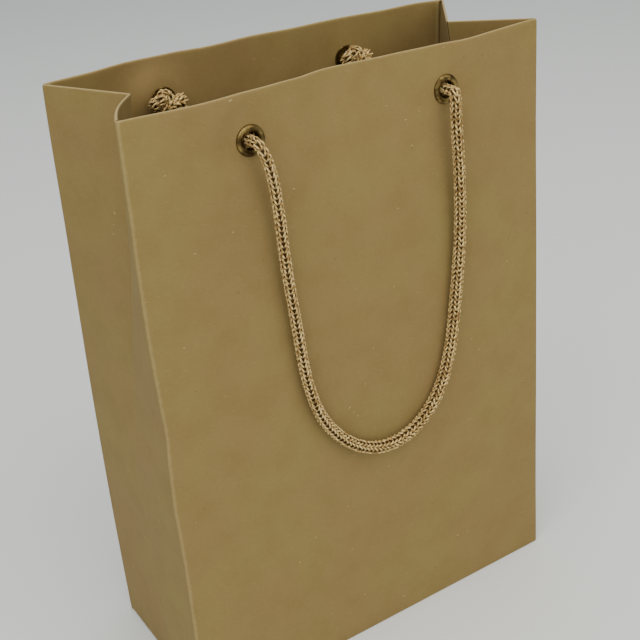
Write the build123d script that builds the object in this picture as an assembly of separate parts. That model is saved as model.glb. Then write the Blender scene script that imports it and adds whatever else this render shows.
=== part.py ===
from build123d import *
import os
from collections import namedtuple
from math import pi, radians, tan

# A flat-bottomed kraft paper gift bag with a knotted cord handle on each wide wall, standing open.
# Frame: +X to the right along the front wall, +Y to the back, +Z up, with the origin on the ground
# under the middle of the base. Sizes are in millimetres.

# The paper box. The sheet is one piece in the real bag; here each panel between folds is a solid.
bag_width = 180.0  # across the front and back walls
bag_depth = 80.0  # front to back at the base
bag_height = 250.0
paper = 0.35  # kraft sheet
glue = 0.1  # glue line between two layers
fold_gap = 0.1  # between a wall's foot and the flap folded under it
corner_gap = 0.3  # between a wall and the gusset behind it, which bends as the wall leans
crease_gap = 0.2  # between the two halves of a gusset

# How the open bag stands: each wall leans in towards the mouth, and the back wall bulges out.
front_lean_in = 2.5
back_lean_in = 14.5
back_bulge = 7.5

# The gussets are flat up to the end of their crease and are pushed in from there to the mouth.
crease_end_height = 110.0
left_push_in = 17.0
right_push_in = 25.0
crease_forward = 4.0  # at the mouth, the crease stands this far in front of the middle

# The turned-in top edge, with a stiffening card inside it on each wide wall.
hem_height = 38.0
card_short = 3.0  # the card stops this far above the hem's lower edge
card = 0.6
top_fold = 0.5  # paper left above the card, where the sheet turns in
edge_gap = 0.3  # the card and hem stop a wall's thickness and this short of the side folds

# The bottom: two end flaps inside, two long flaps outside, and a loose board on top.
long_flap_reach = 50.0
end_flap_reach = 45.0
flap_mitre = 8.0
joggle = 1.0
board = 1.2
board_gap = 1.0
board_corner = 2.0
seam_width = 15.0

# Eyelets: a domed flange outside, a barrel, and an end rolled over a washer inside.
front_eyelets = (-43.3, 40.9)  # x of the left and right ones, punched a little off centre
back_eyelets = (-43.0, 43.0)
eyelet_drop = 17.0  # below the top edge
eyelet_bore = 3.3  # radius
barrel_wall = 0.4
flange_radius = 5.6
flange_height = 1.1
rolled_radius = 4.7
rolled_end = 0.4
washer = 0.55
seat = 0.05  # between the metal and the paper, and between the two metal pieces
hole_clearance = 0.1

# The cord: knotted inside each eyelet, with a loop that hangs outside and swings.
cord_radius = 2.5
hang_gap = 3.0  # between a wall's outer face and the cord that hangs in front of it
loop_clearance = 0.3
knot_radius = 5.0
knot_rise = 1.5
tail_length = 10.5

# Each loop's route between its eyelets, as (x, out from the swing axis, up from the swing axis).
front_loop = [
    (-40.2, 1.0, -8.5),
    (-38.0, 0.1, -23.5),
    (-36.6, -1.2, -47.5),
    (-33.9, -1.6, -74.0),
    (-32.2, -1.4, -96.5),
    (-26.6, -1.5, -117.0),
    (-13.8, -1.1, -133.6),
    (2.8, -1.2, -141.4),
    (19.4, -1.0, -137.6),
    (31.6, -1.4, -125.0),
    (37.9, -1.3, -105.5),
    (41.2, -1.7, -82.5),
    (43.6, -1.5, -59.0),
    (43.3, -0.8, -40.0),
    (42.2, -0.2, -23.0),
    (40.9, 0.3, -9.5),
]
back_loop = [
    (42.0, 0.6, -10.0),
    (40.2, 0.3, -27.0),
    (38.9, 0.4, -52.0),
    (37.8, 0.5, -78.0),
    (35.2, 1.4, -101.0),
    (27.5, 2.2, -120.0),
    (14.0, 2.9, -135.0),
    (-2.5, 3.1, -141.0),
    (-18.5, 2.8, -136.5),
    (-30.5, 2.3, -123.5),
    (-36.8, 1.3, -104.5),
    (-39.9, 0.6, -80.5),
    (-42.2, 0.5, -55.5),
    (-43.4, 0.2, -30.5),
    (-43.2, 0.6, -13.0),
]

# Values that follow from the ones above.
foot = paper + fold_gap  # height of a wall's lower edge
stack = 2 * (paper + glue) + card  # a wall's thickness at an eyelet
barrel_radius = eyelet_bore + barrel_wall
layer_inset = stack + edge_gap  # from a side fold to the end of the card and hem
eyelet_height = bag_height - eyelet_drop
card_height = hem_height - card_short
loop_stand_off = hang_gap + cord_radius  # from a wall's outer face to its loop's swing axis

Wall = namedtuple("Wall", "name side lean_in bulge eyelets loop")
front = Wall("front", -1, front_lean_in, 0.0, front_eyelets, front_loop)
back = Wall("back", 1, back_lean_in, back_bulge, back_eyelets, back_loop)
Gusset = namedtuple("Gusset", "name side push_in")
left = Gusset("left", -1, left_push_in)
right = Gusset("right", 1, right_push_in)


def wall_y(wall, x, z, inward=0.0):
    """The y of a wall at x and height z, on the face that lies `inward` behind its outer one."""
    rise = max(0.0, z - foot) / (bag_height - foot)
    swell = wall.bulge * (1 - (2 * x / bag_width) ** 2)
    return wall.side * (bag_depth / 2 + rise * (swell - wall.lean_in) - inward)


def wall_line(wall, inward, x_from, x_to, z):
    """A level line on a wall layer's face: straight where the wall is flat, else an arc."""
    start, middle, end = (
        Vector(x, wall_y(wall, x, z, inward), z) for x in (x_from, (x_from + x_to) / 2, x_to)
    )
    flat = abs(middle.Y - (start.Y + end.Y) / 2) < 0.001
    return Line(start, end) if flat else ThreePointArc(start, middle, end)


def wall_layer(wall, depth, thickness, x_low, x_high, z_low, z_high):
    """One sheet of a wall, `depth` behind its outer face, between two heights."""
    sections = []
    for z in (z_low, z_high):
        outer = wall_line(wall, depth, x_low, x_high, z)
        inner = wall_line(wall, depth + thickness, x_high, x_low, z)
        sections.append(Wire([outer, Line(outer @ 1, inner @ 0), inner, Line(inner @ 1, outer @ 0)]))
    return Solid.make_loft(sections, ruled=True)


def eyelet_plane(wall, x):
    """A plane on a wall's outer face at an eyelet, facing out of the bag, with its Y upwards."""
    z = eyelet_height
    along = Vector(2, wall_y(wall, x + 1, z) - wall_y(wall, x - 1, z), 0)
    up = Vector(0, wall_y(wall, x, z + 1) - wall_y(wall, x, z - 1), 2)
    outward = along.cross(up) * -wall.side
    return Plane(Vector(x, wall_y(wall, x, z), z), x_dir=along * -wall.side, z_dir=outward)


def eyelet_places(wall):
    """The eyelet planes of a wall, by the side of the bag that they are on."""
    left_x, right_x = wall.eyelets
    return {"left": eyelet_plane(wall, left_x), "right": eyelet_plane(wall, right_x)}


def punched(wall, layer):
    """A wall layer with its two eyelet holes."""
    for place in eyelet_places(wall).values():
        layer -= place.location * Cylinder(barrel_radius + hole_clearance, 10 * stack)
    return layer


def wall_panel(wall):
    return punched(
        wall, wall_layer(wall, 0, paper, -bag_width / 2, bag_width / 2, foot, bag_height)
    )


def top_card(wall):
    """The stiffening card between the panel and the turned-in hem."""
    reach = bag_width / 2 - layer_inset
    high = bag_height - top_fold
    return punched(
        wall, wall_layer(wall, paper + glue, card, -reach, reach, high - card_height, high)
    )


def wall_hem(wall):
    """The sheet's top edge, turned in and glued down over the card."""
    reach = bag_width / 2 - layer_inset
    high = bag_height - glue
    depth = paper + glue + card + glue
    return punched(wall, wall_layer(wall, depth, paper, -reach, reach, high - hem_height, high))


def side_seam_flap():
    """The strip that closes the sheet into a tube, glued inside the back wall below its hem."""
    edge = bag_width / 2 - 2 * paper
    low = foot + paper + board + board_gap
    high = bag_height - hem_height - 2 * top_fold
    return wall_layer(back, paper + glue, paper, edge - seam_width, edge, low, high)


def gusset_section(gusset, wall, depth, setback, z):
    """A level section of one layer of half a gusset, from behind its wall to the crease."""
    pushed = max(0.0, z - crease_end_height) / (bag_height - crease_end_height)
    middle_y = (wall_y(front, bag_width / 2, z) + wall_y(back, bag_width / 2, z)) / 2
    inward = Vector(-gusset.side, 0)
    corner = Vector(gusset.side * bag_width / 2, wall_y(wall, bag_width / 2, z), z)
    crease = Vector(corner.X, middle_y + wall.side * crease_gap / 2 - crease_forward * pushed, z)
    crease += inward * gusset.push_in * pushed
    start = corner + (crease - corner) * (setback / abs(crease.Y - corner.Y))
    near, far = inward * depth, inward * (depth + paper)
    return Wire(Polyline(start + near, crease + near, crease + far, start + far, close=True).edges())


def gusset_half(gusset, wall):
    """Half of a side gusset: flat up to the end of the crease, then pushed in up to the mouth."""
    heights = (foot, crease_end_height, bag_height)
    setback = paper + corner_gap
    return Solid.make_loft(
        [gusset_section(gusset, wall, 0, setback, z) for z in heights], ruled=True
    )


def gusset_hem(gusset, wall):
    """The gusset half's top edge, turned in."""
    high = bag_height - glue
    setback = stack + corner_gap
    depth = paper + 2 * glue
    return Solid.make_loft(
        [gusset_section(gusset, wall, depth, setback, z) for z in (high - hem_height, high)],
        ruled=True,
    )


def long_flap_plan(wall):
    """The outline of a long bottom flap seen from above, mitred at its free corners."""
    edge = bag_depth / 2 - fold_gap
    free = edge - long_flap_reach
    wide = bag_width / 2 - fold_gap
    corners = [(-wide, edge), (wide, edge), (wide - flap_mitre, free), (flap_mitre - wide, free)]
    return make_face(Polyline(*[(x, wall.side * y) for x, y in corners], close=True))


def back_long_flap():
    """The outer long flap, which the bag stands on."""
    return extrude(long_flap_plan(back), amount=paper, dir=(0, 0, 1))


def front_long_flap():
    """The other long flap: level with the ground, then stepped up over the back one's edge."""
    edge = -bag_depth / 2
    overlap = bag_depth / 2 - long_flap_reach - fold_gap - paper
    free = -edge
    lift = paper + glue / 2
    profile = make_face(
        Polyline(
            (0, edge, 0),
            (0, overlap - joggle, 0),
            (0, overlap, lift),
            (0, free, lift),
            (0, free, lift + paper),
            (0, overlap, lift + paper),
            (0, overlap - joggle, paper),
            (0, edge, paper),
            close=True,
        )
    )
    stepped = extrude(profile, amount=bag_width, dir=(1, 0, 0), both=True)
    return stepped & extrude(long_flap_plan(front), amount=bag_depth, dir=(0, 0, 1), both=True)


def end_flap(gusset):
    """A gusset's bottom flap, folded in first and so on top of the long ones."""
    low = 2 * paper + glue
    edge = bag_width / 2 - 2 * paper
    half = bag_depth / 2 - paper - board_gap
    corners = [
        (edge, -half),
        (edge, half),
        (edge - end_flap_reach, half - 2 * flap_mitre),
        (edge - end_flap_reach, 2 * flap_mitre - half),
    ]
    outline = make_face(Polyline(*[(gusset.side * x, y) for x, y in corners], close=True))
    return Pos(0, 0, low) * extrude(outline, amount=paper, dir=(0, 0, 1))


def base_board():
    """The card that lies loose on the bottom flaps and carries what is in the bag."""
    low = 3 * paper + 2 * glue
    length = bag_width - 2 * (paper + board_gap)
    width = bag_depth - 2 * (paper + board_gap)
    slab = Box(length, width, board, align=(Align.CENTER, Align.CENTER, Align.MIN))
    return Pos(0, 0, low) * fillet(slab.edges().filter_by(Axis.Z), board_corner)


def eyelet():
    """An eyelet about its own Z, with z = 0 on the paper's outer face."""
    roll_top = -(stack + washer + 3 * seat)
    tail = roll_top - rolled_end
    dome = ThreePointArc(
        (eyelet_bore, 0, flange_height / 2),
        ((eyelet_bore + flange_radius) / 2, 0, flange_height),
        (flange_radius, 0, seat),
    )
    rest = Polyline(
        (flange_radius, 0, seat),
        (barrel_radius, 0, seat),
        (barrel_radius, 0, roll_top),
        (rolled_radius, 0, roll_top),
        (rolled_radius, 0, tail),
        (eyelet_bore, 0, tail),
        (eyelet_bore, 0, flange_height / 2),
    )
    return revolve(make_face(dome + rest), Axis.Z)


def eyelet_washer():
    """The washer that the eyelet's end is rolled over, inside the bag."""
    ring = Cylinder(flange_radius, washer) - Cylinder(barrel_radius + seat, washer)
    rims = ring.edges().filter_by(GeomType.CIRCLE).group_by(SortBy.RADIUS)[-1]
    return Pos(0, 0, -(stack + seat + washer / 2)) * fillet(rims, washer / 3)


def knot(wall):
    """The stopper knot inside an eyelet, with its cut tail and the cord that goes through."""
    inside = -(stack + washer + 3 * seat + rolled_end + loop_clearance + knot_radius)
    outside = loop_stand_off - cord_radius - loop_clearance
    middle = Vector(0, knot_rise, inside)
    through = Pos(0, 0, (inside + outside) / 2) * Cylinder(cord_radius, outside - inside)
    tail_way = Vector(-wall.side, 0.25, -0.15)
    tail = Solid.make_cylinder(cord_radius, tail_length, Plane(middle, z_dir=tail_way))
    return through + Pos(middle) * Sphere(knot_radius) + tail


def swing_axis(wall):
    """The two ends of a loop's swing axis, left then right, off the wall's eyelets."""
    return [place.origin + place.z_dir * loop_stand_off for place in eyelet_places(wall).values()]


def loop_route(wall):
    """A loop's points, from one end of its swing axis to the other."""
    ends = swing_axis(wall)
    axis = (ends[0] + ends[1]) / 2
    points = [
        Vector(x, axis.Y + wall.side * out, axis.Z + up) for x, out, up in wall.loop
    ]
    start, end = sorted(ends, key=lambda point: (point - points[0]).length)
    return [start, *points, end]


def bend_radii(route):
    """The radius at each inner point of a route: as large as its two runs allow."""
    radii = []
    for before, here, after in zip(route, route[1:], route[2:]):
        half_turn = radians((here - before).get_angle(after - here)) / 2
        shorter = min((here - before).length, (after - here).length)
        radii.append(0.45 * shorter / tan(half_turn))
    return radii


def handle_cord(wall):
    """A wall's hanging loop of cord, from one end of its swing axis to the other."""
    route = loop_route(wall)
    radii = bend_radii(route)
    path = FilletPolyline(*route, radius=radii)
    section = Plane(path @ 0, z_dir=path % 0) * Circle(cord_radius)
    loop = sweep(section, path=path)
    share = loop.volume / (pi * cord_radius**2 * path.length)
    print(f"{wall.name} loop: {path.length:.1f} mm long, volume {share:.4f} of section times length")
    print("  radii", " ".join(f"{radius:.0f}" for radius in radii))
    return loop


def build_parts():
    """Every sub-part of the bag, by name."""
    parts = {
        "bottom_front_flap": front_long_flap(),
        "bottom_back_flap": back_long_flap(),
        "base_board": base_board(),
        "side_seam_flap": side_seam_flap(),
    }
    for gusset in (left, right):
        parts[f"{gusset.name}_end_flap"] = end_flap(gusset)
        for wall in (front, back):
            parts[f"{gusset.name}_gusset_{wall.name}"] = gusset_half(gusset, wall)
            parts[f"{gusset.name}_gusset_{wall.name}_hem"] = gusset_hem(gusset, wall)
    for wall in (front, back):
        parts[f"{wall.name}_panel"] = wall_panel(wall)
        parts[f"{wall.name}_top_card"] = top_card(wall)
        parts[f"{wall.name}_hem"] = wall_hem(wall)
        for side, place in eyelet_places(wall).items():
            parts[f"{wall.name}_{side}_eyelet"] = place.location * eyelet()
            parts[f"{wall.name}_{side}_washer"] = place.location * eyelet_washer()
            parts[f"{wall.name}_{side}_knot"] = place.location * knot(wall)
        parts[f"{wall.name}_handle_cord"] = handle_cord(wall)
        axis_middle = sum(swing_axis(wall), Vector()) / 2
        print(f"{wall.name} loop swings on y {axis_middle.Y:.3f} z {axis_middle.Z:.3f}")
    return parts


os.makedirs("parts", exist_ok=True)
for name, solid in build_parts().items():
    export_step(solid, f"parts/{name}.step")
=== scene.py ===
import math
import random
from types import SimpleNamespace

import bpy
from mathutils import Matrix, Vector, noise


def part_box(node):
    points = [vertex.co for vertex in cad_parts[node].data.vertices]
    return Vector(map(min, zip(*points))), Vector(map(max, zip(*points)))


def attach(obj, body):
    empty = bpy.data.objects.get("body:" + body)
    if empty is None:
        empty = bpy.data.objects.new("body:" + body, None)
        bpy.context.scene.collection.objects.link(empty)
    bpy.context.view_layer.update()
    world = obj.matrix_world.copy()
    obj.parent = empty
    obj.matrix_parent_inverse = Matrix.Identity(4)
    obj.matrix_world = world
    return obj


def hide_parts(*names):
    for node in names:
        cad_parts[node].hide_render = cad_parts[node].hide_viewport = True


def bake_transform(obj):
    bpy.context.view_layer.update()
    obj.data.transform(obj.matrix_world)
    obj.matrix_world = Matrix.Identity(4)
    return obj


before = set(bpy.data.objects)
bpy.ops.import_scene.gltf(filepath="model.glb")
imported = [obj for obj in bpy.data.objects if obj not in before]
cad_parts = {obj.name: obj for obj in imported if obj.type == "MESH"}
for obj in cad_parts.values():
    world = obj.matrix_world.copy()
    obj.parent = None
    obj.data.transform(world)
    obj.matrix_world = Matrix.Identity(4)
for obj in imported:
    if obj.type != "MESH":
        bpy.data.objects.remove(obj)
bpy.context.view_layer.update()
noise.seed_set(1)  # or noise_vector would start from the clock, and differ at each run


# --- Kraft paper ----------------------------------------------------------------------------
# The whole bag is one sheet of uncoated brown kraft, 0.35 mm thick, made on a paper machine
# from long unbleached wood fibres. It is matt, with a soft cloudy tone, fine hairs of lighter
# and darker fibre lying every way, and a paler line along each fold, which is partly scuffing
# and partly a painted highlight.

MM = 0.001
PAPER = 0.35 * MM
FOLD_RADIUS = 0.5 * MM  # of the middle of the sheet, round a creased edge
KRAFT_OLIVE = "#887544"
KRAFT_BROWN = "#887145"
KRAFT_DARK = "#816B3D"
KRAFT_PALE_FIBRE = "#A38F60"
KRAFT_DARK_FIBRE = "#66552B"
# The paler line along a fold: partly scuffing, partly a painted highlight.
KRAFT_SCUFF_AND_HIGHLIGHT = "#BAA677"


def colour(code):
    """An sRGB hex value as the linear colour that a shader takes."""
    parts = [int(code[i : i + 2], 16) / 255 for i in (1, 3, 5)]
    return [c / 12.92 if c <= 0.04045 else ((c + 0.055) / 1.055) ** 2.4 for c in parts] + [1]


def add_node(tree, kind, inputs=None, **settings):
    """A new shader node, with its settings made and its inputs set or linked."""
    node = tree.nodes.new("ShaderNode" + kind)
    for name, value in settings.items():
        setattr(node, name, value)
    for name, value in (inputs or {}).items():
        if isinstance(value, bpy.types.NodeSocket):
            tree.links.new(value, node.inputs[name])
        else:
            node.inputs[name].default_value = value
    return node


def new_finish(name, roughness, **shader):
    """A new material, its node tree and its Principled shader, with its constants set."""
    material = bpy.data.materials.new(name)
    material.use_nodes = True
    principled = material.node_tree.nodes["Principled BSDF"]
    principled.inputs["Roughness"].default_value = roughness
    for socket, value in shader.items():
        principled.inputs[socket.replace("_", " ")].default_value = value
    return material, material.node_tree, principled


def blended(tree, share, first, second):
    """The colour between two others at a share."""
    mix = add_node(tree, "Mix", data_type="RGBA")
    for index, value in ((0, share), (6, first), (7, second)):
        if isinstance(value, bpy.types.NodeSocket):
            tree.links.new(value, mix.inputs[index])
        else:
            mix.inputs[index].default_value = value
    return mix.outputs[2]


def ramped(tree, value, low, high, top=1.0):
    """A value as a share that is 0 at `low` and `top` at `high`, with smooth ends."""
    inputs = {"Value": value, "From Min": low, "From Max": high, "To Max": top}
    return add_node(
        tree, "MapRange", inputs, interpolation_type="SMOOTHSTEP"
    ).outputs["Result"]


def kraft_finish():
    """Uncoated machine-made brown kraft paper. A noise's scale is its features in a metre."""
    material, tree, principled = new_finish("uncoated_brown_kraft_paper", 0.86)
    principled.inputs["Specular IOR Level"].default_value = 0.3
    flat = add_node(tree, "UVMap", uv_map="flat").outputs["UV"]

    # Patches of olive and brown 40 mm across, with clouds of tone of 14 mm and less in them.
    patches = add_node(tree, "TexNoise", {"Vector": flat, "Scale": 25, "Detail": 2})
    tint = ramped(tree, patches.outputs["Fac"], 0.35, 0.65)
    shade = blended(tree, tint, colour(KRAFT_OLIVE), colour(KRAFT_BROWN))
    clouds = add_node(
        tree, "TexNoise", {"Vector": flat, "Scale": 70, "Detail": 6, "Roughness": 0.6}
    )
    tone = ramped(tree, clouds.outputs["Fac"], 0.62, 0.30, 0.6)
    shade = blended(tree, tone, shade, colour(KRAFT_DARK))

    # Fibres 3 to 6 mm long. A real one is 0.03 mm thick: these are drawn at 0.3 mm, to show.
    bend = add_node(tree, "TexNoise", {"Vector": flat, "Scale": 120, "Detail": 1})
    drift = add_node(
        tree, "VectorMath", {0: bend.outputs["Color"], "Scale": 5 * MM}, operation="SCALE"
    )
    bent = add_node(tree, "VectorMath", {0: flat, 1: drift.outputs["Vector"]}).outputs["Vector"]
    hair_size = (260, 2600, 1)  # how many lengths and widths of a fibre there are in a metre
    heights = []
    for turn, fibre, strength, least in (
        (0.35, KRAFT_PALE_FIBRE, 0.24, 0.64),
        (1.75, KRAFT_PALE_FIBRE, 0.20, 0.65),
        (2.60, KRAFT_DARK_FIBRE, 0.16, 0.64),
        (1.05, KRAFT_DARK_FIBRE, 0.16, 0.65),
    ):
        along = add_node(
            tree, "VectorRotate", {"Vector": bent, "Angle": turn}, rotation_type="Z_AXIS"
        )
        drawn = add_node(
            tree, "Mapping", {"Vector": along.outputs["Vector"], "Scale": hair_size}
        )
        hairs = add_node(
            tree, "TexNoise", {"Vector": drawn.outputs["Vector"], "Scale": 1, "Detail": 1}
        )
        shown = ramped(tree, hairs.outputs["Fac"], least, least + 0.08, strength)
        shade = blended(tree, shown, shade, colour(fibre))
        heights.append(hairs.outputs["Fac"])

    # A few knots of fibre, half a millimetre long: paler slivers and smaller dark specks. Only
    # one cell in fourteen has one.
    bare_cells = 0.93
    for cells, knot, size in (((170, 420, 1), "#CDBB8A", 0.07), ((280, 230, 1), "#4F3F20", 0.06)):
        spread = add_node(
            tree, "Mapping", {"Vector": bent, "Scale": cells, "Rotation": (0, 0, 0.7)}
        )
        specks = add_node(tree, "TexVoronoi", {"Vector": spread.outputs["Vector"], "Scale": 1})
        cell = add_node(tree, "SeparateColor", {"Color": specks.outputs["Color"]})
        chosen = add_node(
            tree, "Math", {0: cell.outputs["Red"], 1: bare_cells}, operation="GREATER_THAN"
        )
        near = ramped(tree, specks.outputs["Distance"], size + 0.03, size, 0.5)
        spot = add_node(
            tree, "Math", {0: near, 1: chosen.outputs["Value"]}, operation="MULTIPLY"
        )
        shade = blended(tree, spot.outputs["Value"], shade, colour(knot))

    # The paler line on a fold, a third to two thirds of a millimetre each side of it: partly
    # scuffing, and partly a painted highlight where the fold catches the light.
    gap = add_node(tree, "Attribute", attribute_name="fold_gap").outputs["Fac"]
    patchy = add_node(tree, "TexNoise", {"Vector": flat, "Scale": 420, "Detail": 3})
    reach = add_node(
        tree, "MapRange",
        {"Value": patchy.outputs["Fac"], "To Min": 0.35 * MM, "To Max": 0.7 * MM},
    ).outputs["Result"]
    scuff_and_highlight = add_node(
        tree, "MapRange",
        {"Value": gap, "From Min": 0, "From Max": reach, "To Min": 0.7, "To Max": 0},
    )
    shade = blended(tree, scuff_and_highlight.outputs["Result"], shade, colour(KRAFT_SCUFF_AND_HIGHLIGHT))
    tree.links.new(shade, principled.inputs["Base Color"])

    # Felt marks and fibres stand about a twentieth of a millimetre proud, on slow swells.
    felt = add_node(tree, "TexNoise", {"Vector": flat, "Scale": 1500, "Detail": 3})
    relief = felt.outputs["Fac"]
    for height in heights:
        relief = add_node(tree, "Math", {0: relief, 1: height}).outputs["Value"]
    raised = add_node(tree, "Bump", {"Height": relief, "Strength": 0.5, "Distance": 0.05 * MM})
    swells = add_node(
        tree, "Bump",
        {"Height": clouds.outputs["Fac"], "Strength": 0.35, "Distance": 0.5 * MM,
         "Normal": raised.outputs["Normal"]},
    )
    tree.links.new(swells.outputs["Normal"], principled.inputs["Normal"])
    return material


KRAFT = kraft_finish()


def steps(start, end, count):
    """Even steps from just after `start` to `end`."""
    return [start + (end - start) * (i + 1) / count for i in range(count)]


def pick(*pieces):
    """Selects these pieces alone, the last one active, for the next operator to act on."""
    for other in bpy.context.selected_objects:
        other.select_set(False)
    for piece in pieces:
        piece.select_set(True)
        bpy.context.view_layer.objects.active = piece


def apply_modifier(piece, kind, **settings):
    """Adds a modifier to a piece that is picked, and applies it."""
    modifier = piece.modifiers.new(kind.lower(), kind)
    for name, value in settings.items():
        setattr(modifier, name, value)
    bpy.ops.object.modifier_apply(modifier=modifier.name)


def lay_sheet(name, across, up, place, thickness=PAPER, material=None):
    """A sheet laid with its middle at place(across, up), which also gives the nearest fold's
    distance. Its UV map holds the flat sheet in metres, each sheet from its own part of the
    roll."""
    pick()
    bpy.ops.mesh.primitive_grid_add(
        x_subdivisions=len(across) - 1, y_subdivisions=len(up) - 1, size=2
    )
    sheet = bpy.context.object
    sheet.name = sheet.data.name = name
    mesh = sheet.data
    mesh.uv_layers[0].name = "flat"
    gaps = mesh.attributes.new("fold_gap", "FLOAT", "POINT")
    cut_from = 0.37 * len(bpy.data.meshes)  # along the roll
    flat = []
    for vertex in mesh.vertices:
        a = across[round((vertex.co.x + 1) / 2 * (len(across) - 1))]
        s = up[round((vertex.co.y + 1) / 2 * (len(up) - 1))]
        vertex.co, gaps.data[vertex.index].value = place(a, s)
        flat.append((a + cut_from, s))
    for corner in mesh.loops:
        mesh.uv_layers[0].data[corner.index].uv = flat[corner.vertex_index]
    pick(sheet)
    apply_modifier(sheet, "SOLIDIFY", thickness=thickness, offset=0)
    sheet.data.materials.append(material or KRAFT)
    bpy.ops.object.shade_smooth_by_angle(angle=math.radians(40))
    return sheet


def fit(piece, body, slot, *nodes):
    """Lets a piece ride on a body in place of its CAD nodes. Its `slot` is not used."""
    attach(piece, body)
    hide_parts(*nodes)


# --- Bottom flaps and end flaps -------------------------------------------------------------
# Below the walls and gussets the same sheet is folded under, with mitred corners, and glued
# flat: first the two end flaps, then the front flap, and under it the back one.

panel_low, panel_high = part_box("front_panel")
HALF_WIDTH = panel_high.x
HALF_DEPTH = -panel_low.y
MOUTH = panel_high.z
FOOT = panel_low.z
CORNER = PAPER / 2 + FOLD_RADIUS  # from an outer face in to where the sheet is round the corner
NO_FOLD = 0.1  # a fold_gap too large for a fold's paler line of scuffing and painted highlight


def long_flap(name, side, free_edge, lift, step_at):
    """A flap folded in from under a wall, stepped up by `lift` at y = step_at."""
    start = HALF_DEPTH - CORNER
    reach = abs(side * start - free_edge)
    mitre = 8 * MM

    def place(a, s):
        y = side * (start - s)
        stepped = min(1, max(0, (y - step_at) / MM + 0.5))
        x = side * a * (HALF_WIDTH - PAPER - mitre * s / reach) / HALF_WIDTH
        return Vector((x, y, PAPER / 2 + lift * stepped)), s + FOLD_RADIUS

    across = [-HALF_WIDTH, *steps(-HALF_WIDTH, HALF_WIDTH, 24)]
    # The outer face of a flap looks down, so its rows run towards the middle of the bag.
    flap = lay_sheet(f"{name}_sheet", across, [0, *steps(0, reach, 50)], place)
    fit(flap, "base", "kraft_paper", name)


# The front flap steps up over the back one's free edge. The back flap lies flat.
long_flap("bottom_front_flap", -1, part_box("bottom_front_flap")[1].y, 0.4 * MM, -10.95 * MM)
long_flap("bottom_back_flap", 1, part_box("bottom_back_flap")[0].y, 0, 0)


def end_flap(name, side):
    """A gusset's flap, folded in on top of the long ones."""
    low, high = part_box(name)
    start, free_edge = HALF_WIDTH - CORNER, min(abs(low.x), abs(high.x))
    reach = start - free_edge
    mitre = 16 * MM

    def place(a, s):
        y = -side * a * (high.y - mitre * s / reach) / high.y
        return Vector((side * (start - s), y, (low.z + high.z) / 2)), s + FOLD_RADIUS

    flap = lay_sheet(
        f"{name}_sheet", [-high.y, *steps(-high.y, high.y, 16)], [0, *steps(0, reach, 16)], place
    )
    fit(flap, "base", "kraft_paper", name)


end_flap("left_end_flap", -1)
end_flap("right_end_flap", 1)


# --- Base board -----------------------------------------------------------------------------
# A loose rectangle of 1.2 mm greyboard that stiffens the bottom. It is pressed from recycled
# pulp: dull warm grey, speckled with bits of the old paper, and rougher on its cut edges.


def greyboard_finish():
    """Recycled greyboard, pressed and dried, with no facing."""
    material, tree, principled = new_finish("pressed_recycled_greyboard", 0.9)
    place = add_node(tree, "TexCoord").outputs["Object"]
    clouds = add_node(tree, "TexNoise", {"Vector": place, "Scale": 130, "Detail": 5})
    pale = ramped(tree, clouds.outputs["Fac"], 0.35, 0.65)
    shade = blended(tree, pale, colour("#8F8A80"), colour("#A19C91"))
    specks = add_node(tree, "TexVoronoi", {"Vector": place, "Scale": 700})
    chosen = ramped(tree, specks.outputs["Distance"], 0.16, 0.05, 0.6)
    shade = blended(tree, chosen, shade, colour("#5E5A55"))
    tree.links.new(shade, principled.inputs["Base Color"])
    pulp = add_node(tree, "TexNoise", {"Vector": place, "Scale": 1200, "Detail": 3})
    raised = add_node(
        tree, "Bump", {"Height": pulp.outputs["Fac"], "Strength": 0.6, "Distance": 0.08 * MM}
    )
    tree.links.new(raised.outputs["Normal"], principled.inputs["Normal"])
    return material


GREYBOARD = greyboard_finish()


def refinish(node, material):
    """Gives a CAD node its finish."""
    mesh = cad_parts[node].data
    mesh.materials.clear()
    mesh.materials.append(material)


refinish("base_board", GREYBOARD)


# --- Front and back walls -------------------------------------------------------------------
# Each wide wall is a panel of the sheet that goes up to the mouth, turns in over a stiffening
# card and is glued down inside as the hem. The open bag is hand-creased, so its top edge waves
# a little, the walls lean in, and the back one bulges out.

HEM_HEIGHT = 38 * MM
HEM_DEPTH = 1.325 * MM  # from a wall's outer face to the middle of its turned-in sheet
CARD_DEPTH = 0.75 * MM
CARD_THICK = 0.6 * MM
LAYER_INSET = 1.8 * MM  # the hem and the card stop short of the side folds
EYELET_Z = 233 * MM
HOLE_RADIUS = 3.85 * MM
CLAMPED = 6.5 * MM  # from an eyelet's middle, the paper that it holds flat
STIFFENED = 64 * MM  # below the mouth, the part that the top edge's waves fade out over


def smooth(share):
    """A share from 0 to 1 with both its ends eased."""
    share = min(1, max(0, share))
    return share * share * (3 - 2 * share)


def through(points, x):
    """A smooth line through (x, value) points, level at each of them."""
    if x <= points[0][0]:
        return points[0][1]
    for (x0, v0), (x1, v1) in zip(points, points[1:]):
        if x <= x1:
            return v0 + (v1 - v0) * smooth((x - x0) / (x1 - x0))
    return points[-1][1]


# How far the top edge waves towards the back, along the wall from left to right, in mm.
front_wave = [(-90, -0.9), (-62, -3.0), (-40, -1.0), (-25, 0.3), (-8, 3.6), (18, 2.0),
              (38, 0.8), (50, -1.2), (66, -0.4), (90, 0.0)]
back_wave = [(-90, 2.0), (-72, 1.4), (-55, 3.2), (-36, 1.8), (-20, -1.2), (0, 0.2), (16, -1.4),
             (42, 0.0), (60, -0.8), (78, 1.2), (90, -0.3)]
# How far the front left fold wanders along the wall, from the bottom up, in mm.
fold_wander = [(0, -1.4), (34, -1.6), (50, -1.4), (73, -1.0), (90, -1.25), (104, -1.4),
               (119, -0.9), (135, 0.05), (148, -0.5), (160, -0.8), (175, -1.0), (197, -0.8),
               (218, -0.3), (250, 0.0)]


def front_set(x, z):
    """The front wall's right edge leans in a little more than the rest."""
    return 3.3 * MM * z / MOUTH * smooth((x / MM - 50) / 40)


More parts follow.
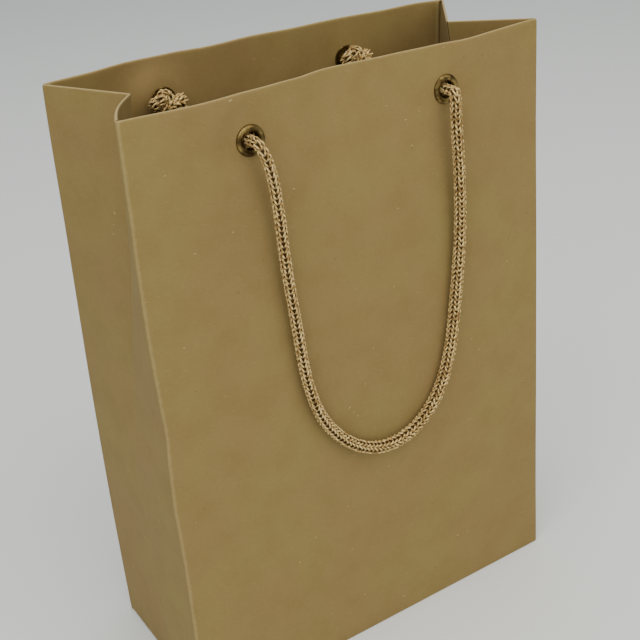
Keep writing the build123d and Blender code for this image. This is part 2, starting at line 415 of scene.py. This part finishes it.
def back_set(x, z):
    """The back wall's left edge stays upright for longer before it leans in."""
    height = z / MOUTH
    return 27 * MM * (height - height**1.63) * min(0, x / HALF_WIDTH) ** 4


def eyelet_places(wall_name):
    """The x of a wall's left and right eyelets."""
    boxes = [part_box(f"{wall_name}_{side_name}_eyelet") for side_name in ("left", "right")]
    return [(low.x + high.x) / 2 for low, high in boxes]


FRONT = SimpleNamespace(
    name="front", side=-1, lean_in=2.5 * MM, bulge=0, wave=front_wave, set=front_set,
    eyelets=eyelet_places("front"), seed=3.0,
)
BACK = SimpleNamespace(
    name="back", side=1, lean_in=14.5 * MM, bulge=7.5 * MM, wave=back_wave, set=back_set,
    eyelets=eyelet_places("back"), seed=8.0,
)


def wall_point(wall, x, z, depth):
    """A point of a wall's sheets, `depth` behind its outer face."""
    rise = max(0, z - FOOT) / (MOUTH - FOOT)
    swell = wall.bulge * (1 - (x / HALF_WIDTH) ** 2)
    y = wall.side * (HALF_DEPTH + rise * (swell - wall.lean_in) - depth)
    # The paper lies as the flat wall does round each eyelet, which clamps it.
    from_eyelet = min(math.hypot(x - eyelet, z - EYELET_Z) for eyelet in wall.eyelets)
    free = smooth((from_eyelet - CLAMPED) / (10 * MM))
    wave = through(wall.wave, x / MM) * MM * smooth((z - MOUTH + STIFFENED) / STIFFENED)
    # Damp air cockles paper by half a millimetre, in dimples 50 mm wide and 70 mm high.
    cockle = noise.noise(Vector((x / (50 * MM), z / (70 * MM), wall.seed))) * 0.5 * MM
    y += (wave + cockle * smooth(z / (30 * MM))) * free + wall.set(x, z)
    if wall is FRONT and x < 0:
        # The fold takes the outer third of the wall with it.
        x += through(fold_wander, z / MM) * MM * smooth((-x / HALF_WIDTH - 0.62) / 0.38)
    return Vector((x, y, z))


def turned_sheet(s, lowest, top, hem_depth):
    """Where a wall's sheet is at s along it, as (z, depth, share turned in): it curls up from
    the bottom fold, goes up to the mouth, turns over and goes down inside."""
    curl = math.pi / 2 * FOLD_RADIUS
    turn_radius = (hem_depth - PAPER / 2) / 2
    straight = top - turn_radius - lowest - FOLD_RADIUS
    turn = math.pi * turn_radius
    if s < curl:
        angle = s / FOLD_RADIUS
        return (
            lowest + FOLD_RADIUS * (1 - math.cos(angle)),
            CORNER - FOLD_RADIUS * math.sin(angle),
            0,
        )
    s -= curl
    if s < straight:
        return lowest + FOLD_RADIUS + s, PAPER / 2, 0
    s -= straight
    if s < turn:
        angle = s / turn_radius
        return (
            top - turn_radius * (1 - math.sin(angle)),
            PAPER / 2 + turn_radius * (1 - math.cos(angle)),
            s / turn,
        )
    return top - turn_radius - (s - turn), hem_depth, 1


def sheet_rows(lowest, top, hem_depth):
    """The rows of a wall's sheet, close together where it is folded, and its top fold's place."""
    curl = math.pi / 2 * FOLD_RADIUS
    turn_radius = (hem_depth - PAPER / 2) / 2
    turn_at = curl + top - turn_radius - lowest - FOLD_RADIUS
    turned = turn_at + math.pi * turn_radius
    denser = 180 * MM  # rows are twice as close above this, where the wall waves
    rows = [0, *steps(0, curl, 3), *steps(curl, denser, 34)]
    rows += steps(denser, turn_at - MM, 24)
    rows += [turn_at, *steps(turn_at, turned, 8), turned + MM]
    rows += steps(turned + MM, turned + HEM_HEIGHT - turn_radius, 13)
    return rows, (turn_at + turned) / 2


TOP = MOUTH - PAPER / 2
SIDE_RADIUS = 1.3 * MM  # the side folds have opened, and are rounder than the pressed ones
WALL_FLAT = HALF_WIDTH - PAPER / 2 - SIDE_RADIUS
WALL_EDGE = WALL_FLAT + math.pi / 2 * SIDE_RADIUS


def corner_point(x, z, wall, depth, turned):
    """A point of a wall's own sheet, which goes round the corner folds except in the hem."""
    over = (abs(x) - WALL_FLAT) / SIDE_RADIUS
    round_x, further = x, 0
    if over > 0:
        round_x = math.copysign(WALL_FLAT + SIDE_RADIUS * math.sin(over), x)
        further = SIDE_RADIUS * (1 - math.cos(over))
    hem_x = x * (HALF_WIDTH - LAYER_INSET) / WALL_EDGE
    share = smooth(turned)
    return wall_point(
        wall, round_x + (hem_x - round_x) * share, z, depth + further * (1 - share)
    )


def punch(sheet, wall):
    """Cuts a sheet's two eyelet holes. Its faces are split into flat triangles first, because a
    cut through bent four-sided faces can leave two of them joined along one loose edge."""
    pick(sheet)
    apply_modifier(sheet, "TRIANGULATE")
    for x in wall.eyelets:
        pick()
        bpy.ops.mesh.primitive_cylinder_add(
            vertices=40, radius=HOLE_RADIUS, depth=20 * MM,
            location=wall_point(wall, x, EYELET_Z, 0), rotation=(math.pi / 2, 0, 0),
        )
        cutter = bpy.context.object
        pick(sheet)
        apply_modifier(
            sheet, "BOOLEAN", operation="DIFFERENCE", solver="EXACT", object=cutter
        )
        bpy.data.objects.remove(cutter)


def wall_sheet(wall):
    """A wall's panel and hem in one, from fold to fold."""
    rows, top_fold = sheet_rows(PAPER / 2, TOP, HEM_DEPTH)
    corner_middle = (WALL_FLAT + WALL_EDGE) / 2

    def place(a, s):
        z, depth, turned = turned_sheet(s, PAPER / 2, TOP, HEM_DEPTH)
        # The rounder a fold, the wider and fainter its paler line of scuffing and painted
        # highlight.
        folds = (
            abs(s - top_fold),
            abs(abs(a) - corner_middle) * 0.25 + 0.3 * MM,
            abs(s - FOLD_RADIUS) + 0.2 * MM,
        )
        return corner_point(-wall.side * a, z, wall, depth, turned), min(folds)

    across = [-WALL_EDGE, *steps(-WALL_EDGE, -WALL_FLAT, 6), -WALL_FLAT + MM]
    across += steps(-WALL_FLAT + MM, WALL_FLAT - MM, 60)
    across += [WALL_FLAT, *steps(WALL_FLAT, WALL_EDGE, 6)]
    sheet = lay_sheet(f"{wall.name}_wall_sheet", across, rows, place)
    punch(sheet, wall)
    fit(sheet, f"{wall.name}_wall", "kraft_paper", f"{wall.name}_panel", f"{wall.name}_hem")


wall_sheet(FRONT)
wall_sheet(BACK)


# --- Seam flap ------------------------------------------------------------------------------
# The narrow strip that closes the sheet into a tube, glued down inside the back wall beside
# the right-hand fold.


def seam_flap():
    low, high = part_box("side_seam_flap")
    glue = 0.1 * MM
    depth = PAPER + glue + PAPER / 2

    def place(a, s):
        return wall_point(BACK, a, s, depth), min(a - low.x, NO_FOLD)

    flap = lay_sheet(
        "side_seam_flap_sheet", [low.x, *steps(low.x, high.x, 5)],
        [low.z, *steps(low.z, high.z, 60)], place,
    )
    fit(flap, "back_wall", "kraft_paper", "side_seam_flap")


seam_flap()


# --- Stiffening cards -----------------------------------------------------------------------
# A strip of plain grey card inside each hem, which the eyelets go through. It shows only at
# the ends of the hem.


def top_card(wall):
    low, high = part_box(f"{wall.name}_top_card")

    def place(a, s):
        return wall_point(wall, -wall.side * a, s, CARD_DEPTH), NO_FOLD

    top = high.z - 0.15 * MM  # the waved turn of the sheet needs this room
    strip = lay_sheet(
        f"{wall.name}_card_strip", [low.x, *steps(low.x, high.x, 60)],
        [low.z, *steps(low.z, top, 14)], place, CARD_THICK, GREYBOARD,
    )
    punch(strip, wall)
    fit(strip, f"{wall.name}_wall", "top_card", f"{wall.name}_top_card")


top_card(FRONT)
top_card(BACK)


# --- Side gussets ---------------------------------------------------------------------------
# Each narrow side is the same sheet, creased down its middle so that the bag folds flat. The
# open bag's crease is pushed in from half its height up to the mouth. The two halves follow
# the walls that they are folded from.

CREASE_END = 110 * MM
CREASE_FORWARD = 4 * MM
GUSSET_LOWEST = 0.975 * MM  # the gussets fold in above the long flaps
GUSSET_HEM_DEPTH = 0.725 * MM
GUSSET_HALF = 40 * MM
GUSSET_SETBACK = 1.8 * MM  # its hem stops this far short of the wall's one


def gusset_half(side_name, side, push_in, wall, bow):
    """Half of a gusset, from its crease to a wall. `push_in` is its crease's at the mouth, and
    `bow` how far it curves out."""
    rows, top_fold = sheet_rows(GUSSET_LOWEST, TOP, GUSSET_HEM_DEPTH)
    from_crease = side == wall.side  # the way its rows run, so that its outer face looks out

    def place(a, s):
        z, depth, turned = turned_sheet(s, GUSSET_LOWEST, TOP, GUSSET_HEM_DEPTH)
        share = (a if from_crease else GUSSET_HALF - a) / GUSSET_HALF
        pushed = max(0, z - CREASE_END) / (MOUTH - CREASE_END)
        corner = corner_point(side * WALL_EDGE, z, wall, PAPER / 2, 0)
        rise = (z - FOOT) / (MOUTH - FOOT)
        middle = (BACK.lean_in - FRONT.lean_in) / -2 * rise - CREASE_FORWARD * pushed
        crease = Vector((side * (HALF_WIDTH - PAPER / 2 - push_in * pushed), middle, z))
        run = corner - crease
        inward = Vector((-run.y, run.x, 0)).normalized()
        if inward.x * side > 0:
            inward = -inward
        reach = 1 - GUSSET_SETBACK / run.length * smooth(turned)
        point = crease + run * share * reach
        point -= inward * bow * math.sin(math.pi * share) * pushed
        point += inward * (depth - PAPER / 2)
        folds = (
            abs(s - top_fold),
            share * GUSSET_HALF + 0.35 * MM,
            ((1 - share) * GUSSET_HALF + MM) * 0.25 + 0.3 * MM,
            abs(s - FOLD_RADIUS) + 0.2 * MM,
        )
        return point, min(folds)

    across = [0, MM, *steps(MM, GUSSET_HALF - MM, 13), GUSSET_HALF]
    half = lay_sheet(f"{side_name}_gusset_{wall.name}_sheet", across, rows, place)
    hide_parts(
        f"{side_name}_gusset_{wall.name}", f"{side_name}_gusset_{wall.name}_hem"
    )
    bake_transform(half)


for side_name, side, push_in, bow in (
    ("left", -1, 17 * MM, 1.7 * MM), ("right", 1, 25 * MM, 0)
):
    gusset_half(side_name, side, push_in, FRONT, bow)
    gusset_half(side_name, side, push_in, BACK, 0)


# --- Eyelets and washers --------------------------------------------------------------------
# Each eyelet is a drawn brass ring, set through the wall and rolled over a washer inside. An
# antique finish leaves it dark brown in its hollows and bare on its rubbed crown.


def antique_brass_finish():
    """Brass plating, toned brown and lacquered dull."""
    material, tree, principled = new_finish("antique_plated_brass", 0.33, Metallic=1.0)
    place = add_node(tree, "TexCoord").outputs["Object"]
    patina = add_node(tree, "TexNoise", {"Vector": place, "Scale": 260, "Detail": 4})
    tarnish = ramped(tree, patina.outputs["Fac"], 0.4, 0.62)
    shade = blended(tree, tarnish, colour("#8A7646"), colour("#4C3C22"))
    tree.links.new(shade, principled.inputs["Base Color"])
    dull = add_node(
        tree, "MapRange", {"Value": patina.outputs["Fac"], "To Min": 0.24, "To Max": 0.5}
    )
    tree.links.new(dull.outputs["Result"], principled.inputs["Roughness"])
    fine = add_node(tree, "TexNoise", {"Vector": place, "Scale": 2500, "Detail": 2})
    raised = add_node(
        tree, "Bump", {"Height": fine.outputs["Fac"], "Strength": 0.3, "Distance": 0.03 * MM}
    )
    tree.links.new(raised.outputs["Normal"], principled.inputs["Normal"])
    return material


BRASS = antique_brass_finish()
for wall in (FRONT, BACK):
    for side_name in ("left", "right"):
        for part in ("eyelet", "washer"):
            refinish(f"{wall.name}_{side_name}_{part}", BRASS)


# --- Handle cords ---------------------------------------------------------------------------
# Each handle is a soft tube of golden beige yarn, knitted on four needles, so it shows columns
# of open V stitches with a groove between them. It is limp: it comes straight out of its
# eyelet, turns down over its rim and hangs in a loop that is wider at the bottom.

CORD = 5 * MM
WALES = 4  # columns of stitches
STITCH = 2.1 * MM  # from one row of stitches to the next
YARN_RADIUS = 0.345 * MM


def yarn_finish():
    """Matt spun cotton, a little hairy, so it has a soft sheen and a fine broken surface."""
    material, tree, principled = new_finish("spun_cotton_yarn", 0.8, Sheen_Weight=0.12)
    place = add_node(tree, "TexCoord").outputs["Object"]
    # The yarn's tone goes light and dark at random, in blotches about a millimetre across; its
    # pale tone also stands in as painted highlights on the strands.
    blotches = add_node(tree, "TexNoise", {"Vector": place, "Scale": 900, "Detail": 3})
    lit = ramped(tree, blotches.outputs["Fac"], 0.37, 0.63)
    shade = blended(tree, lit, colour("#936F2F"), colour("#E8CA86"))
    # Painted shade: the yarn is darkened where it goes in between its neighbours, where little
    # light gets in, and this also stands for the dirt that collects there.
    sunk = add_node(tree, "Attribute", attribute_name="sunk").outputs["Fac"]
    shade = blended(tree, sunk, shade, colour("#4E3A1A"))
    tree.links.new(shade, principled.inputs["Base Color"])
    fine = add_node(tree, "TexNoise", {"Vector": place, "Scale": 3500, "Detail": 2})
    raised = add_node(
        tree, "Bump", {"Height": fine.outputs["Fac"], "Strength": 0.6, "Distance": 0.12 * MM}
    )
    tree.links.new(raised.outputs["Normal"], principled.inputs["Normal"])
    return material


def hollow_finish():
    """Painted shade: a dark colour for the inside of the knitted tube, seen between its stitches.
    """
    material, tree, principled = new_finish("shaded_inner_yarn", 1.0, Specular_IOR_Level=0.0)
    place = add_node(tree, "TexCoord").outputs["Object"]
    blotches = add_node(tree, "TexNoise", {"Vector": place, "Scale": 1200, "Detail": 2})
    shade = blended(tree, blotches.outputs["Fac"], colour("#33250F"), colour("#5A4526"))
    tree.links.new(shade, principled.inputs["Base Color"])
    return material


YARN = yarn_finish()
HOLLOW_SHADE = hollow_finish()


def new_curve(name, resolution, radius=0.0, caps=False):
    """A curve for splines of one yarn's or cord's thickness, as an object in the scene."""
    curve = bpy.data.curves.new(name, "CURVE")
    curve.dimensions = "3D"
    curve.resolution_u = resolution
    curve.bevel_depth = radius
    curve.bevel_resolution = 1
    curve.use_fill_caps = caps
    line = bpy.data.objects.new(name, curve)
    bpy.context.scene.collection.objects.link(line)
    return line


def add_spline(line, places):
    """A smooth open line in a curve, with these places as its control points."""
    spline = line.data.splines.new("NURBS")
    spline.points.add(len(places) - 1)
    for point, place in zip(spline.points, places):
        point.co = (*place, 1)
    spline.order_u = 3
    spline.use_endpoint_u = True


def traced_path(guide):
    """The points along a guide's line, and its length."""
    bpy.context.view_layer.update()
    traced = bpy.data.meshes.new_from_object(guide)
    path = [vertex.co.copy() for vertex in traced.vertices]
    bpy.data.meshes.remove(traced)
    return path, sum((b - a).length for a, b in zip(path, path[1:]))


# A leg of a V stitch, as (rows up, degrees from the stitch's middle, mm in from the surface): it
# comes up out of the stitch below, spreads, and goes in under the next row.
stitch_leg = [(-0.2, 3, 1.1), (0.15, 8, 0.25), (0.55, 19, 0.0), (0.95, 31, 0.1), (1.25, 37, 1.0)]


def knit_row(name, pitch):
    """One row of the tube, along X: its stitches, and inside them a dark tube of painted shade
    that shows between them.
    """
    surface = CORD / 2 - YARN_RADIUS
    row = new_curve(name, 2, YARN_RADIUS)
    for wale in range(WALES):
        for hand in (-1, 1):
            leg = []
            for rows_up, spread, inset in stitch_leg:
                angle = math.tau * wale / WALES + math.radians(hand * spread)
                radius = surface - inset * MM
                leg.append((rows_up * pitch, radius * math.cos(angle), radius * math.sin(angle)))
            add_spline(row, leg)
    pick(row)
    bpy.ops.object.convert(target="MESH")
    # A dark tube inside the stitches, painted shade for the hollow inside the cord.
    pick()
    bpy.ops.mesh.primitive_cylinder_add(
        vertices=12, radius=surface - 0.75 * MM, depth=pitch, end_fill_type="NOTHING",
        location=(pitch / 2, 0, 0), rotation=(0, math.pi / 2, 0),
    )
    shade_tube = bpy.context.object
    for piece in (row, shade_tube):
        piece.data.materials.append(YARN)
        piece.data.materials.append(HOLLOW_SHADE)
    for side_face in shade_tube.data.polygons:
        side_face.material_index = 1
    pick(shade_tube, row)
    bpy.ops.object.join()
    return row


def knit(name, route, widths):
    """A knitted tube that follows a route: one row of stitches is made, repeated along a
    straight line, and laid along the route's curve. `widths` are (share of length, mm)."""
    guide = new_curve(f"{name}_line", 24)
    add_spline(guide, route)
    path, length = traced_path(guide)
    rows = round(length / STITCH)
    pitch = length / rows
    cord = knit_row(name, pitch)
    apply_modifier(
        cord, "ARRAY", count=rows, use_relative_offset=False, use_constant_offset=True,
        constant_offset_displace=(pitch, 0, 0), use_merge_vertices=True,
        merge_threshold=0.002 * MM,
    )
    # The open ends of the yarns and of the dark tube of painted shade are closed.
    bpy.ops.object.mode_set(mode="EDIT")
    bpy.ops.mesh.select_all(action="SELECT")
    bpy.ops.mesh.fill_holes(sides=0)
    bpy.ops.object.mode_set(mode="OBJECT")
    # How deep each point lies among its neighbours, for the yarn's painted shade.
    sunk = cord.data.attributes.new("sunk", "FLOAT", "POINT")
    end_gap = 0.02 * MM
    for vertex in cord.data.vertices:
        buried = CORD / 2 - 0.35 * MM - math.hypot(vertex.co.y, vertex.co.z)
        sunk.data[vertex.index].value = min(1, max(0, buried / (0.75 * MM)))
        vertex.co.x = min(max(vertex.co.x, end_gap), length - end_gap)
        vertex.co.yz = vertex.co.yz * through(widths, vertex.co.x / length) * MM / CORD
    apply_modifier(cord, "CURVE", object=guide, deform_axis="POS_X")
    # Hand and wear pull the stitches about, each a little differently.
    for vertex in cord.data.vertices:
        vertex.co += noise.noise_vector(vertex.co / (1.4 * MM)) * 0.16 * MM
    bpy.ops.object.shade_smooth()
    bpy.data.objects.remove(guide)
    return cord, path, length


FRONT_AXIS = Vector((0, -43.170, 233.055)) * MM
BACK_AXIS = Vector((0, 37.363, 233.191)) * MM
# Each loop's route, as (x, out from its swing axis, up from its swing axis), in metres.
front_loop = [
    (-0.0402, 0.001, -0.0085),
    (-0.038, 0.0001, -0.0235),
    (-0.0366, -0.0012, -0.0475),
    (-0.0339, -0.0016, -0.074),
    (-0.0322, -0.0014, -0.0965),
    (-0.0266, -0.0015, -0.117),
    (-0.0138, -0.0011, -0.1336),
    (0.0028, -0.0012, -0.1414),
    (0.0194, -0.001, -0.1376),
    (0.0316, -0.0014, -0.125),
    (0.0379, -0.0013, -0.1055),
    (0.0412, -0.0017, -0.0825),
    (0.0436, -0.0015, -0.059),
    (0.0433, -0.0008, -0.04),
    (0.0422, -0.0002, -0.023),
    (0.0409, 0.0003, -0.0095),
]
back_loop = [
    (0.042, 0.0006, -0.01),
    (0.0402, 0.0003, -0.027),
    (0.0389, 0.0004, -0.052),
    (0.0378, 0.0005, -0.078),
    (0.0352, 0.0014, -0.101),
    (0.0275, 0.0022, -0.12),
    (0.014, 0.0029, -0.135),
    (-0.0025, 0.0031, -0.141),
    (-0.0185, 0.0028, -0.1365),
    (-0.0305, 0.0023, -0.1235),
    (-0.0368, 0.0013, -0.1045),
    (-0.0399, 0.0006, -0.0805),
    (-0.0422, 0.0005, -0.0555),
    (-0.0434, 0.0002, -0.0305),
    (-0.0432, 0.0006, -0.013),
]


def handle(wall, axis, loop, first, last):
    """One handle: in through an eyelet at each end, and a hanging loop between them."""
    out = Vector((0, wall.side, 0))

    def ends(x):
        near = Vector((x, axis.y, axis.z))
        return near - out * 9.5 * MM, near - out * 4 * MM, near + out * 0.6 * MM

    start, end = ends(first), ends(last)
    hanging = [axis + Vector((x, wall.side * away, up)) for x, away, up in loop]
    route = [*start, *hanging, *reversed(end)]
    widths = [(0, 4.0), (0.03, 4.3), (0.07, 4.5), (0.3, 4.8), (0.5, 5.6), (0.7, 5.2),
              (0.93, 4.8), (0.97, 4.6), (1, 4.2)]
    cord, path, length = knit(f"{wall.name}_handle_knitted", route, widths)
    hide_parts(f"{wall.name}_handle_cord")
    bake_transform(cord)


handle(FRONT, FRONT_AXIS, front_loop, -43.3 * MM, 40.9 * MM)
handle(BACK, BACK_AXIS, back_loop, 43.4 * MM, -43.4 * MM)


# --- Stopper knots --------------------------------------------------------------------------
# Inside the bag each end of a cord is tied in an overhand knot, pulled up small and tight
# against the washer, with a short tail cut off with scissors, so that its yarns fray.


def cut_yarns(cut, tail, chance):
    """The cut yarns of a tail, which spring apart past its end."""
    line = new_curve("cut_yarns", 3, 0.3 * MM, caps=True)
    for _ in range(44):
        angle, out = chance.uniform(0, math.tau), chance.uniform(0.5, 3.4) * MM
        side_way = Vector((0, math.cos(angle), math.sin(angle)))
        flare = side_way * chance.uniform(0.2, 1.1) * MM
        yarn = []
        for along in (-4.5, -2.2, -0.3, chance.uniform(0.4, 1.4)):
            spread = out * 0.8 if along < -2 else out
            place = cut + side_way * spread + tail * along * MM + flare * max(0, along)
            curl = Vector([chance.uniform(-0.35, 0.35) * MM for _ in range(3)])
            yarn.append(place + curl)
        add_spline(line, yarn)
    pick(line)
    bpy.ops.object.convert(target="MESH")
    line.data.materials.append(YARN)
    return line


def stopper_knot(wall, side_name):
    """A knot and its tail, which points to the right-hand end of the bag."""
    node = f"{wall.name}_{side_name}_knot"
    washer_low, washer_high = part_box(f"{wall.name}_{side_name}_washer")
    eyelet = (washer_low + washer_high) / 2
    inward = Vector((0, -wall.side, 0))
    up, tail = Vector((0, 0, 1)), Vector((1, 0, 0))
    if side_name == "left":
        aside, reach = -2.6 * MM, 7.5 * MM
    else:
        aside, reach = -0.4 * MM, 6 * MM
    middle = eyelet + inward * 5.0 * MM + tail * aside + up * 0.8 * MM
    size = 1.22 * MM
    # An overhand knot is an open trefoil: the cord goes round itself and through its own loop.
    route = [eyelet - inward * 2 * MM, eyelet + inward * 1.5 * MM]
    for i in range(13):
        t = math.radians(40 + i * 280 / 12)
        x = math.sin(t) + 2 * math.sin(2 * t)
        y = math.cos(t) - 2 * math.cos(2 * t)
        z = -1.5 * math.sin(3 * t)
        route.append(middle + size * (x * up + y * tail + z * inward))
    tail_line = middle + inward * 1.5 * MM - up * 0.9 * MM
    cut = tail_line + tail * reach
    route += [tail_line + tail * 3.5 * MM, cut]
    widths = [(0, 4.4), (0.12, 4.0), (0.3, 4.6), (0.75, 5.4), (0.85, 6.8), (1, 7.4)]
    knot = knit(f"{node}_knitted", route, widths)[0]
    pick(cut_yarns(cut, tail, random.Random(node)), knot)
    bpy.ops.object.join()
    fit(knot, f"{wall.name}_wall", "knitted_cord", node)


for wall in (FRONT, BACK):
    for side_name in ("left", "right"):
        stopper_knot(wall, side_name)


# --- Room and camera ------------------------------------------------------------------------
# A plain pale floor under broad, soft light from the front, the left and above.


def room():
    pick()
    bpy.ops.mesh.primitive_plane_add(size=8)
    floor = bpy.context.object
    floor.name = "floor"
    material, tree, principled = new_finish("matt_white_floor", 0.85)
    principled.inputs["Base Color"].default_value = colour("#E6E9E7")
    floor.data.materials.append(material)
    world = bpy.data.worlds.new("room")
    bpy.context.scene.world = world
    world.use_nodes = True
    sky = world.node_tree.nodes["Background"]
    sky.inputs["Color"].default_value = colour("#E4E9EA")
    sky.inputs["Strength"].default_value = 0.62


def soft_light(name, place, size, power, tint):
    """A square lamp that points at the middle of the bag."""
    light = bpy.data.lights.new(name, "AREA")
    light.energy, light.size, light.color = power, size, colour(tint)[:3]
    lamp = bpy.data.objects.new(name, light)
    lamp.location = place
    to_bag = Vector((0, 0, 0.12)) - Vector(place)
    lamp.rotation_euler = to_bag.to_track_quat("-Z", "Y").to_euler()
    bpy.context.scene.collection.objects.link(lamp)


def camera(place, target, roll, lens):
    """The view: from a little above the mouth, with the left gusset turned into it."""
    view = bpy.data.objects.new("camera", bpy.data.cameras.new("camera"))
    bpy.context.scene.collection.objects.link(view)
    bpy.context.scene.camera = view
    view.data.lens = lens
    view.data.sensor_width = 36
    view.data.clip_start = 0.01
    facing = (target - place).to_track_quat("-Z", "Y").to_matrix()
    turned = facing @ Matrix.Rotation(roll, 3, "Z")
    view.matrix_world = Matrix.Translation(place) @ turned.to_4x4()


room()
soft_light("key", (0.4, -1.2, 1.2), 1.5, 12.5, "#FFF8EE")
soft_light("fill", (-1.1, -0.7, 1.1), 1.2, 9, "#FFFBF4")
soft_light("overhead", (-0.1, -0.15, 1.6), 1.4, 14, "#FFFDF8")
camera(
    Vector((-214.33, -356.39, 346.98)) * MM, Vector((1.29, 0.21, 135.0)) * MM,
    math.radians(-4.585), 62.35,
)
